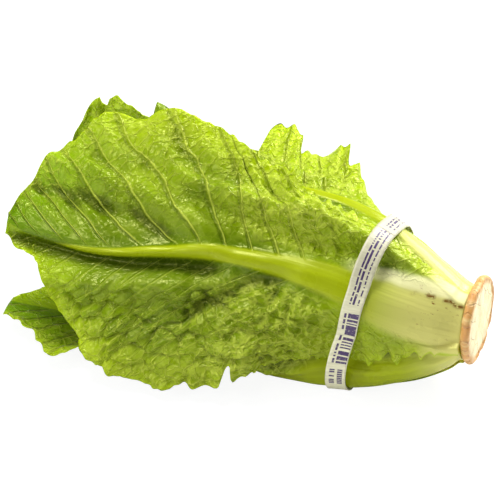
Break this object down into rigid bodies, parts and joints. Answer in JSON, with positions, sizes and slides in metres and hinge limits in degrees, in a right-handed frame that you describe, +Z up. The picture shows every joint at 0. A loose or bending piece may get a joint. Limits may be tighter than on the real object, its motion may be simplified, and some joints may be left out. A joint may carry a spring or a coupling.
{
  "type": "romaine lettuce head",
  "caption": "Whole head of long crinkled leaves wrapped round a short core, cut flat at the butt and held by a flat tie band, lying on its side.",
  "frame": {"origin": "On the surface that the head lies on, at the middle of the flat spot of the under leaf that carries it.", "axes": "+X runs along the head's axis out of the cut butt, +Z is up, and -Y is the side that the front leaf faces."},
  "size_m": [0.302, 0.1738, 0.1438],
  "materials": {
    "outer_leaf": "satin",
    "middle_leaf": "satin",
    "heart_leaf": "satin",
    "cut_stump": "matte",
    "band": "satin"
  },
  "bodies": {
    "root": {"heart_leaf_1": "heart_leaf", "heart_leaf_2": "heart_leaf", "heart_leaf_3": "heart_leaf", "heart_leaf_4": "heart_leaf", "heart_leaf_5": "heart_leaf", "middle_leaf_1": "middle_leaf", "middle_leaf_2": "middle_leaf", "middle_leaf_3": "middle_leaf", "middle_leaf_4": "middle_leaf", "middle_leaf_5": "middle_leaf", "back_leaf": "outer_leaf", "lower_leaf": "outer_leaf", "under_leaf": "outer_leaf", "top_leaf": "outer_leaf", "front_leaf": "outer_leaf", "stump": "cut_stump", "tie_band": "band"}
  },
  "joints": []
}
